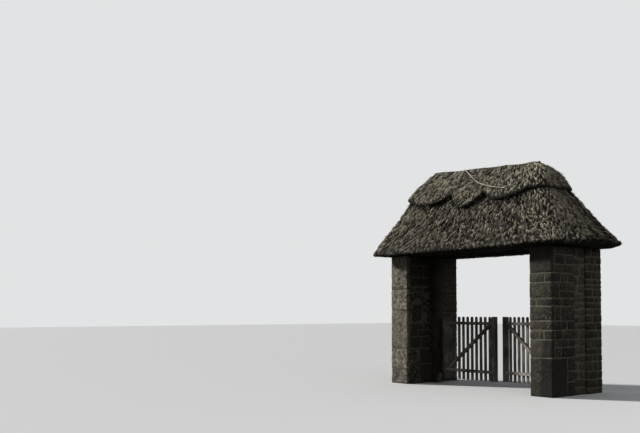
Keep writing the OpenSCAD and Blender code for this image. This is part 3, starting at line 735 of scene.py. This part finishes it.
def wisp(seed):
    """A handful of straws, drawn to points, lying along X with its tips a little raised."""
    draw = random.Random(seed).uniform
    points, faces, straws, tips = [], [], [], []
    sunk = 0.01  # how deep the straws are bedded in the coat
    for i in range(5):
        y, length = draw(-0.014, 0.014), draw(0.07, 0.15)
        yaw, raised = draw(-0.2, 0.2), draw(0.003, 0.013)
        wide, thick = draw(0.0035, 0.0065), draw(0.004, 0.0065)
        start = draw(-0.05, 0.01)
        first = len(points)
        points += [(start, y - wide, -sunk), (start, y + wide, -sunk), (start, y, thick - sunk),
                   (start + length, y + yaw * length, raised - 0.008)]
        for face in ((0, 2, 1), (0, 1, 3), (1, 2, 3), (2, 0, 3)):
            faces.append([first + i for i in face])
        straws += [draw(0, 1)] * 4
        tips += [0.0] * 3 + [1.0]
    marks = {"straw": straws, "tip": tips}
    made = make_piece("wisp_%d" % seed, points, faces, coat_straw, marks, soft_edge=3.2)
    bpy.context.scene.collection.objects.unlink(made)
    return made


wisps = bpy.data.collections.new("wisps")
for seed in range(5):
    wisps.objects.link(wisp(seed))


def new_tree(name, inputs):
    """A geometry tree with named inputs, and a wire from them."""
    tree = bpy.data.node_groups.new(name, "GeometryNodeTree")
    for label, kind in inputs.items():
        tree.interface.new_socket(label, in_out="INPUT", socket_type="NodeSocket" + kind)
    tree.interface.new_socket("Made", in_out="OUTPUT", socket_type="NodeSocketGeometry")
    return tree, Wire(tree).node("NodeGroupInput")


def close_tree(made, finish):
    """Ends a tree: what it made becomes real mesh and gets its finish."""
    real = made.node("GeometryNodeRealizeInstances", {}, {0: made})
    done = made.node("GeometryNodeSetMaterial", {}, {0: real, "Material": finish})
    made.tree.links.new(done.socket, made.tree.nodes.new("NodeGroupOutput").inputs[0])


def kept(given, name, kind="FLOAT"):
    """A value stored on the piece that a tree works on."""
    sockets = {"Name": name}
    return given.node("GeometryNodeInputNamedAttribute", {"data_type": kind}, sockets, "Attribute")


def worked(piece, tree, **inputs):
    """Puts a piece through a geometry tree and returns the plain mesh that comes out."""
    modifier = piece.modifiers.new("work", "NODES")
    modifier.node_group = tree
    for item in tree.interface.items_tree:
        label = item.name.lower().replace(" ", "_")
        if label in inputs:
            modifier[item.identifier] = inputs[label]
    ready = bpy.context.evaluated_depsgraph_get()
    mesh = bpy.data.meshes.new_from_object(piece.evaluated_get(ready))
    piece.modifiers.remove(modifier)
    return mesh


straw_tree, given = new_tree("Straw laid down a slope", {
    "Slope": "Geometry", "Wisps": "Collection", "Wisps to a square metre": "Float", "Seed": "Int",
    "Length": "Float", "Straying": "Float", "Lift": "Float", "Straw": "Material"})


def chance_of(low, high, seed):
    """A random number for each wisp."""
    sockets = {2: low, 3: high, "Seed": seed}
    return given.node("FunctionNodeRandomValue", {"data_type": "FLOAT"}, sockets, 1)


spread = given.node("GeometryNodeDistributePointsOnFaces", {}, {
    "Mesh": given.also("Slope"), "Density": given.also("Wisps to a square metre"),
    "Seed": given.also("Seed")}, "Points")
facing_out = given.node(
    "FunctionNodeAlignRotationToVector", {"axis": "Z"}, {"Vector": spread.also("Normal")})
combed_down = given.node("FunctionNodeAlignRotationToVector", {"axis": "X", "pivot_axis": "Z"}, {
    "Rotation": facing_out, "Vector": kept(given, "down", "FLOAT_VECTOR")})
astray = chance_of(-1.0, 1.0, 3) * given.also("Straying")
raised = chance_of(0.1, 1.0, 4) * given.also("Lift")
angles = given.node("ShaderNodeCombineXYZ", {}, {
    0: chance_of(-0.5, 0.5, 5), 1: 0.0 - raised, 2: astray})
turned = given.node("FunctionNodeEulerToRotation", {}, {0: angles})
lying = given.node("FunctionNodeRotateRotation", {"rotation_space": "LOCAL"}, {
    "Rotation": combed_down, "Rotate By": turned})
stretch = chance_of(0.7, 1.3, 6) * given.also("Length") * kept(given, "long")
width = chance_of(0.7, 1.25, 7)
handfuls = given.node("GeometryNodeCollectionInfo", {}, {0: given.also("Wisps"), 1: True, 2: True})
picked = given.node("FunctionNodeRandomValue", {"data_type": "INT"}, {4: 0, 5: 99, "Seed": 8}, 2)
laid = given.node("GeometryNodeInstanceOnPoints", {}, {
    "Points": spread, "Instance": handfuls, "Pick Instance": True, "Instance Index": picked,
    "Rotation": lying, "Scale": given.node("ShaderNodeCombineXYZ", {}, {
        0: stretch, 1: width, 2: width})})
toned = laid.node(
    "GeometryNodeStoreNamedAttribute", {"data_type": "FLOAT", "domain": "INSTANCE"}, {
        0: laid, "Name": "shade", "Value": kept(given, "shade") * 0.68 + chance_of(-0.28, 0.6, 9)})
close_tree(toned, given.also("Straw"))


def straw_on(grid, marks, rows, columns, **look):
    """Straw laid over some rows and lines of a grid, as a piece of its own."""
    grid = grid[rows][:, columns]
    ids = np.arange(grid.shape[0] * grid.shape[1]).reshape(grid.shape[:2])
    faces = np.stack([ids[:-1, :-1], ids[:-1, 1:], ids[1:, 1:], ids[1:, :-1]], axis=-1)
    mesh = bpy.data.meshes.new("slope")
    mesh.from_pydata(grid.reshape(-1, 3).tolist(), [], faces.reshape(-1, 4).tolist())
    marks = {name: values[rows][:, columns] for name, values in marks.items()}
    store(mesh, {name: values.reshape(-1, *values.shape[2:]) for name, values in marks.items()})
    slope = put("slope", mesh)
    straw = worked(slope, straw_tree, wisps=wisps, **look)
    bpy.data.objects.remove(slope)
    return put("straw", straw)


def joined(whole, *parts):
    """Joins other pieces to a piece."""
    pieces = [whole, *parts]
    with bpy.context.temp_override(active_object=whole, object=whole,
                                   selected_editable_objects=pieces, selected_objects=pieces):
        bpy.ops.object.join()


def shell_of(name, grid, lay, shade, finish, all_round=False):
    """A closed shell from a grid of points. One slope joins its last row to its first and has two
    ends. A shell that goes all round closes over the ridge, where its points meet."""
    rows, n = grid.shape[:2]
    shell = bmesh.new()
    place = shell.verts.layers.float_vector.new("lay")
    deep = shell.verts.layers.float.new("shade")
    made = []
    for p, l, v in zip(grid.reshape(-1, 3), lay.reshape(-1, 3), shade.ravel()):
        vert = shell.verts.new(p)
        vert[place], vert[deep] = l, v
        made.append(vert)
    for r in range(rows - 1 if all_round else rows):
        for c in range(n if all_round else n - 1):
            s, d = (r + 1) % rows, (c + 1) % n
            shell.faces.new([made[i] for i in (r * n + c, r * n + d, s * n + d, s * n + c)])
    if not all_round:
        for c in (0, n - 1):
            shell.faces.new([made[r * n + c] for r in range(rows)])
    bmesh.ops.remove_doubles(shell, verts=shell.verts, dist=1e-4)
    bmesh.ops.dissolve_degenerate(shell, edges=shell.edges, dist=1e-5)
    bmesh.ops.recalc_face_normals(shell, faces=shell.faces)
    mesh = bpy.data.meshes.new(name)
    shell.to_mesh(mesh)
    shell.free()
    count = len(mesh.vertices)
    store(mesh, {"straw": np.full(count, 0.5), "tip": np.zeros(count)})
    mesh.materials.append(finish)
    mesh.shade_smooth()
    return put(name, mesh)


# The lower edge of the ridge cap, in shares of the rise. Below it the coat gets a painted shadow of
# the cap
cusp_at = 0.69  # where the edge runs level and where the scallops meet
scallops = (  # cusp, low, cusp, drop
    (-1.75, -0.95, -0.47, 0.1), (-0.47, -0.1, 0.3, 0.17), (0.3, 0.63, 1.22, 0.11))
edge_share = np.full(line_n, cusp_at)
edge_x = coat_at(np.array([[cusp_at]]))[0][:, 0]
for first, lowest, last, drop in scallops:
    u = np.clip((edge_x - first) / (last - first), 0, 1)
    skew = math.log(0.5) / math.log((lowest - first) / (last - first))
    edge_share -= drop * np.sin(np.pi * u**skew)

# Shares of the rise for the rows of the coat: close together where it shows, few under the cap
cap_cover = 0.76
seen = np.linspace(0.04, cap_cover, 58)
shares = np.concatenate([[0, 0.006, 0.015, 0.026], seen, [0.84, 0.92]])[:, None]
insets = [lip, lip * 0.55, lip * 0.25, lip * 0.08]
insets = np.array(insets + [0] * (len(seen) + 2))[:, None]
smooth_coat = coat_at(shares, insets)
normal, down = outward(smooth_coat)
drooping = np.interp(shares, (0, 0.026, 0.1), (0.8, 0.65, 0))[..., None]
down = down * (1 - drooping) + np.array([0, 0, -1]) * drooping
coat_lay = lay_of(-shares * slope_length)
tufts = tufts_on(coat_lay, 3.0)

# A shallow hollow runs down the right slope near its rear hip, painted darker as painted shade
firsts = [int(np.argmax(line_side == s)) for s in range(4)] + [line_n]  # first line of a side
number = np.arange(line_n)
to_rear = np.interp(
    number, (firsts[1] - 1, firsts[1], firsts[2] - 1, firsts[2]), (0, 0.0001, 1, 0))
hollow = np.interp(to_rear, (0.7, 0.77, 0.81, 0.87), (0, 1, 1, 0))
hollow = hollow * np.interp(shares, (0.05, 0.25), (0.3, 1))
relief = (tufts - 0.78) * tuft_rise + ripple(coat_lay, 1.9, 1.6, 31.0) * 0.014 - hollow * 0.022
fade = np.interp(shares, [0, 0.03, 0.12, cap_cover, cap_cover + 0.06], [0.25, 0.6, 1, 1, 0])
coat_grid = smooth_coat + normal * np.minimum(relief * fade, 0.006 + shares * 0.15)[..., None]
coat_grid[0, :, 2] = smooth_coat[0, :, 2] + np.minimum(relief[0] * 0.3, 0.0)
on_hip = np.where(line_share == 0, 0.6, 1.0)  # the straws are shorter round the hips
long = np.interp(shares, [0, 0.03, 0.08, 0.17], [0.13, 0.17, 0.36, 0.95]) * on_hip

# The straw is painted light along the right front hip, and painted darker towards the rear and in
# the hollow, with a painted shadow below the cap. On the right slope, out of the lamp, the tufts'
# light and shade are painted with more contrast
painted_hip_light = np.interp(number - firsts[1], (-34, -4, 35, 58), (0, 1, 1, 0))
painted_rear_shade = np.interp(to_rear, (0, 0.45, 0.7, 0.9, 1), (0, -0.12, -0.27, -0.24, -0.27))
painted_light_and_shade = 0.32 * painted_hip_light + painted_rear_shade - 0.4 * hollow
cap_shadow = np.clip((shares - edge_share + 0.05) / 0.04, 0, 1)
contrast = np.interp(to_rear, (0, 0.15), (1, 1.8))
tufts = tufts.mean() + (tufts - tufts.mean()) * contrast + painted_light_and_shade - 0.5 * cap_shadow
coat_marks = {"down": down, "lay": coat_lay, "shade": tufts, "long": long}

inner_y = run_front - coat_thick
inner_rise = inner_y * rise / (steep * run_front)
core_shade = 0.62  # painted shade: how much darker the body of the thatch is painted than the straws on it
corners = ((-1, -1), (1, -1), (1, 1), (-1, 1))
for side, node in enumerate(("front_thatch", "right_thatch", "rear_thatch", "left_thatch")):
    at = [c % line_n for c in range(firsts[side], firsts[side + 1] + 1)]
    share = np.linspace(0, 1, len(at))[:, None]
    # The inner face lies on the battens, from the eaves edge up to the ridge
    feet, tops = [], []
    for sx, sy in (corners[side], corners[(side + 1) % 4]):
        ridge = ridge_at[0] if sx < 0 else ridge_at[1]
        out = eaves_out - coat_thick * (eaves_out - abs(ridge)) / run_front
        feet.append(np.array([sx * out, sy * inner_y, eaves_z]))
        tops.append(np.array([ridge, 0, eaves_z + inner_rise]))
    foot = feet[0] + (feet[1] - feet[0]) * share
    top = tops[0] + (tops[1] - tops[0]) * share
    soffit = foot + (coat_grid[0, at] - foot) * 0.6
    soffit[:, 2] = eaves_z
    inside = [top + (foot - top) * f for f in (0.0, 0.25, 0.5, 0.75, 1.0)] + [soffit]
    crest = np.stack([crest_x[at], np.zeros(len(at)), crest_z[at]], axis=-1)
    grid = np.concatenate([inside, coat_grid[:, at], crest[None]])
    hidden_lay = lay_of(np.linspace(2.6, 0.6, len(inside))[:, None])
    lay = np.concatenate([hidden_lay[:, at], coat_lay[:, at], coat_lay[-1:, at]])
    # The inner face and soffit are painted dark, as painted shade under the eaves
    shade = np.full((len(grid), len(at)), 0.1)
    shade[len(inside):-1] = tufts[:, at] * core_shade - 0.1
    coat = shell_of(node + "_straw", grid, lay, shade, coat_straw)
    upper = straw_on(
        coat_grid, coat_marks, slice(3, -2), at, straw=coat_straw, wisps_to_a_square_metre=1080.0,
        seed=70 + side, length=0.9, straying=0.35, lift=0.07)
    fringe = straw_on(
        coat_grid, coat_marks, slice(0, 6), at, straw=coat_straw, wisps_to_a_square_metre=2300.0,
        seed=80 + side, length=0.9, straying=0.3, lift=0.03)
    joined(coat, upper, fringe)
    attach(coat, "frame")
    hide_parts(node)

# The ridge cap. A thick blanket of straw bent over the ridge and pinned down all four slopes, cut
# in three scallops on each long side that throw a shadow on the coat.
cap_thick = 0.08
cap_top = 0.985  # share of the rise where the cap starts to bend over the ridge
roll_height = 0.1
cap_straw = weathered_straw(
    "cap_straw", paint(30, 26, 21), paint(132, 123, 105), paint(216, 206, 183), 0.2)
steps = np.linspace(0, 1, 32)[:, None]  # from the cap's edge to its top
cap_shares = edge_share + (cap_top - edge_share) * steps
under = coat_at(cap_shares)
cap_normal, cap_down = outward(under)
cap_lay = lay_of(-cap_shares * slope_length)
cap_tufts = tufts_on(cap_lay, 41.0, 1.3) + 0.25 * painted_hip_light
right_thin = 1 - np.interp(edge_x, (0.9, 1.4), (0, 0.4)) * np.clip(1 - steps / 0.5, 0, 1)
swell = np.interp(steps, [0, 0.02, 0.05, 1], [0.78, 0.96, 1, 1]) * cap_thick * right_thin
uneven = (cap_tufts - 0.6) * 0.02 + ripple(cap_lay, 1.7, 2.0, 57.0) * 0.022
lifted = swell + uneven * np.interp(steps, [0, 0.06, 0.9, 1], [0.5, 1, 1, 0.6])
shoulder = np.interp(edge_x, (1.1, 1.6), (0, 0.035)) * np.sin(np.pi * steps**1.5)
cap_grid = under + cap_normal * (lifted + shoulder)[..., None]

# Over the ridge, which sags and swells and has a small hump at its right end
hump_at, hump_wide, hump_height = 0.93, 0.16, 0.016
crest = np.stack([crest_x, np.zeros(line_n), crest_z + roll_height - 0.01], axis=-1)
crest[:, 2] += [noise.noise(Vector((x * 2.3, 0, 7.7))) * 0.02
                + hump_height * math.exp(-((x - hump_at) / hump_wide) ** 2) for x in crest_x]
bent = []
for t in (0.4, 0.8, 1.2):
    short_of = np.array([math.cos(t), math.cos(t), 1 - math.sin(t)])
    bent.append(crest + (cap_grid[-1] - crest) * short_of)
crest_under = np.stack([crest_x, np.zeros(line_n), crest_z + 0.003], axis=-1)
inside = []
for f in (1.0, 0.5, 0.12, 0.0):
    on_coat = coat_at((edge_share + (cap_top - edge_share) * f)[None])[0]
    inside.append(on_coat + cap_normal[0 if f < 0.3 else 15] * 0.002)
cap_grid = np.concatenate([cap_grid, bent, crest[None]])
cap_down = np.concatenate([cap_down, np.repeat(cap_down[-1:], 4, axis=0)])
cap_lay = np.concatenate([cap_lay, lay_of(np.array([[-1.76], [-1.78], [-1.8], [-1.82]]))])
cap_tufts = np.concatenate([cap_tufts, np.repeat(cap_tufts[-1:], 4, axis=0)])
hidden_lay = lay_of(np.array([[-1.7], [-1.7], [-1.4], [-1.2], [-1.1]]))
shade = np.concatenate([np.full((5, line_n), -0.5), cap_tufts * core_shade - 0.05])
shade[5:7] = -0.35  # the cut edge, painted dark as painted shade
cap = shell_of(
    "ridge_cap_straw", np.concatenate([crest_under[None], inside, cap_grid]),
    np.concatenate([hidden_lay, cap_lay]), shade, cap_straw, all_round=True)
steps = np.concatenate([steps, np.ones((4, 1))])
long = np.interp(steps, [0, 0.08, 0.3, 0.85, 1], [0.1, 0.4, 1.0, 1.0, 0.4]) * on_hip
cap_marks = {"down": cap_down, "lay": cap_lay, "shade": cap_tufts, "long": long}
all_columns = [c % line_n for c in range(line_n + 1)]
joined(cap, straw_on(
    cap_grid, cap_marks, slice(None), all_columns, straw=cap_straw, wisps_to_a_square_metre=1020.0,
    seed=90, length=0.75, straying=0.6, lift=0.05))
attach(cap, "frame")
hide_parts("ridge_cap")

# The loose rod. A split hazel rod that once pinned the cap down has sprung out, and lies in a bow
# from the ridge down the front of the cap.
rod_tree, given = new_tree(
    "Rod along a path", {"Path": "Geometry", "Thickness": "Float", "Bark": "Material"})
path = given.node("GeometryNodeMeshToCurve", {}, {0: given})
outline = given.node("GeometryNodeCurvePrimitiveCircle", {}, {
    "Resolution": 8, "Radius": given.also("Thickness")})
rod = given.node("GeometryNodeCurveToMesh", {}, {
    "Curve": path, "Profile Curve": outline, "Fill Caps": True})
close_tree(rod, given.also("Bark"))

hazel, surface, place = new_finish("hazel_bark", 0.75)
bark = (place * (9.0, 60.0, 60.0)).specks(1.0, 4.0, 0.6)
colour = bark.past(0.3, 0.7).between(paint(104, 94, 78), paint(214, 204, 182))
dress(surface, colour, bark, 0.001)
bends = np.array((
    (-0.5, -0.07, 3.955), (-0.43, -0.112, 3.92), (-0.237, -0.228, 3.803), (-0.086, -0.312, 3.709),
    (0.051, -0.38, 3.626), (0.249, -0.438, 3.546), (0.364, -0.462, 3.511), (0.496, -0.486, 3.476),
    (0.613, -0.498, 3.453), (0.745, -0.503, 3.428)))
along_rod = np.linspace(0, len(bends) - 1, 33)
points = np.stack([np.interp(along_rod, range(len(bends)), c) for c in bends.T], axis=-1)
rod_mesh = bpy.data.meshes.new("rod")
rod_mesh.from_pydata(points.tolist(), [(i, i + 1) for i in range(len(points) - 1)], [])
rod = put("rod", rod_mesh)
loose_rod = put("loose_hazel_rod", worked(rod, rod_tree, thickness=0.0085, bark=hazel))
bpy.data.objects.remove(rod)
loose_rod.data.shade_smooth()
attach(loose_rod, "frame")

# Hooks and eyes. Wrought iron, forged square and drawn round for the pin, rusted all over.
iron, surface, place = new_finish("rusty_iron", 0.7)
rust = place.specks(90.0, 5.0, 0.65)
scale = place.specks(28.0, 3.0)
colour = rust.past(0.35, 0.65).between(paint(30, 27, 26), paint(66, 48, 38))
colour = (scale.past(0.5, 0.7) * 0.7).between(colour, paint(88, 58, 42))
dress(surface, colour, rust + scale * 0.5, 0.0012, 0.55 + rust * 0.4)
surface.inputs["Metallic"].default_value = 0.25
for node in ("left_hooks", "right_hooks", "left_gate_eyes", "right_gate_eyes"):
    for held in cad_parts[node].material_slots:
        held.material = iron

# The two gate leaves. Stiles, rails and a brace of cleft oak framed and pegged together, with
# round-topped pickets nailed behind the rails. All of it has weathered to a silver grey, painted
# paler still as painted light, and the low rails paler again, as painted light from the ground.
rail_heights = (0.2475, 1.1275)
picket_thick, stile_deep = 0.018, 0.09
clear = 0.0005  # between a head's middle and the wood
gate_oak = weathered_oak(
    "gate_oak", paint(80, 75, 68), paint(146, 139, 128), paint(172, 167, 157), 2.0)
bleached_oak = weathered_oak(
    "bleached_oak", paint(112, 106, 97), paint(186, 179, 167), paint(204, 199, 188), 2.0)

head_tree, given = new_tree("Heads on points", {
    "Places": "Geometry", "Radius": "Float", "Height": "Float", "Finish": "Material"})
ball = given.node("GeometryNodeMeshIcoSphere", {}, {"Radius": 1.0, "Subdivisions": 2})
turned = given.node("FunctionNodeAlignRotationToVector", {"axis": "Z"}, {
    "Vector": kept(given, "facing", "FLOAT_VECTOR")})
size = given.node("ShaderNodeCombineXYZ", {}, {
    0: given.also("Radius"), 1: given.also("Radius"), 2: given.also("Height")})
heads = given.node("GeometryNodeInstanceOnPoints", {}, {
    "Points": given, "Instance": ball, "Rotation": turned, "Scale": size})
close_tree(heads, given.also("Finish"))


def heads_on(name, places, ways, body, slot, **look):
    """Nail heads or peg ends at those places, each facing its own way."""
    mesh = bpy.data.meshes.new("places")
    mesh.from_pydata([tuple(p) for p in places], [], [])
    store(mesh, {"facing": ways})
    held = put("places", mesh)
    made = put(name, worked(held, head_tree, **look))
    bpy.data.objects.remove(held)
    made.data.shade_smooth()
    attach(made, body)


def middles(node):
    """The middle of each stick of a leaf's node, and the way to the yard from its rear face."""
    for stick in sticks_of(node):
        stick.normal_update()
        behind = (f for f in stick.faces if f.normal.y > 0.9)
        rear = max(behind, key=lambda f: f.calc_area()).normal.copy()
        low = Vector(min(v.co[i] for v in stick.verts) for i in range(3))
        high = Vector(max(v.co[i] for v in stick.verts) for i in range(3))
        yield (low + high) / 2, rear
        stick.free()


for side in ("left", "right"):
    body = side + "_gate"
    draw = random.Random(side).uniform
    places, ways = [], []
    for middle, rear in middles(body + "_pickets"):
        for z in rail_heights:
            at = middle + rear * (picket_thick / 2 + clear)
            places.append((at.x + draw(-0.006, 0.006), at.y, z + draw(-0.008, 0.008)))
            ways.append(rear)
    heads_on(body + "_nails", places, ways, body, "iron", radius=0.0055, height=0.002, finish=iron)
    places, ways = [], []
    for stile in ("_hanging_stile", "_meeting_stile"):
        for middle, rear in middles(body + stile):
            for z in rail_heights:
                for up in (-0.014, 0.014):
                    at = middle - rear * (stile_deep / 2 + clear)
                    places.append((at.x, at.y, z + up))
                    ways.append(-rear)
    heads_on(body + "_pegs", places, ways, body, "gate_oak",
             radius=0.0065, height=0.0035, finish=gate_oak)
    right = side == "right"
    for i, part in enumerate(("hanging_stile", "meeting_stile", "top_rail", "low_rail", "brace")):
        finish = bleached_oak if part == "low_rail" else gate_oak
        worn_timber(f"{body}_{part}", finish, 0.005, 0.0016, 0.1, 100 + i + 10 * right,
                    body)
    worn_timber(body + "_pickets", gate_oak, 0.003, 0.0016, 0.12, 130 + right, body)

# Stage. A pale floor and backdrop, a low lamp from the left that rakes over the stone and straw as
# the sun did, a weak fill from the right, and the camera at the photograph's angle and framing.
floor_finish, surface, place = new_finish("studio_floor", 0.9)
lit = place.node("ShaderNodeLightPath", out="Is Camera Ray")
dress(surface, lit.between(paint(62, 62, 60), paint(214, 214, 211)))
bpy.ops.mesh.primitive_plane_add(size=120, location=(0, 0, -0.001))
floor = bpy.context.active_object
floor.name = "studio_floor"
floor.data.materials.append(floor_finish)

world = bpy.data.worlds.new("studio")
bpy.context.scene.world = world
world.use_nodes = True
background = world.node_tree.nodes["Background"]
path = Wire(world.node_tree).node("ShaderNodeLightPath", out="Is Camera Ray")
either = path.node(
    "ShaderNodeMath", {"operation": "MAXIMUM"}, {0: path, 1: path.also("Is Glossy Ray")})
sky = either.between(paint(122, 125, 130), paint(226, 227, 228))
world.node_tree.links.new(sky.socket, background.inputs["Color"])
background.inputs["Strength"].default_value = 1.0

sun = bpy.data.lights.new("key", "SUN")
sun.energy, sun.angle = 4.4, 0.1
fill = bpy.data.lights.new("fill", "AREA")
fill.energy, fill.size = 150, 6
for light, place, aim in ((sun, (-10, -5.43, 5.86), (0, 0, 0)), (fill, (10, -3, 9), (0, 0, 2.6))):
    lamp = put(light.name, light)
    lamp.location = place
    lamp.rotation_mode = "QUATERNION"
    lamp.rotation_quaternion = (Vector(aim) - Vector(place)).to_track_quat("-Z", "Y")

camera = bpy.data.cameras.new("camera")
camera.lens, camera.sensor_width, camera.shift_y = 46.042, 36, 0.1
eye = put("camera", camera)
eye.location = (9.483, -11.5219, 1.346)
eye.rotation_euler = (math.radians(92.166), 0, math.radians(51.153))
bpy.context.scene.camera = eye
bpy.context.scene.view_settings.view_transform = "Standard"
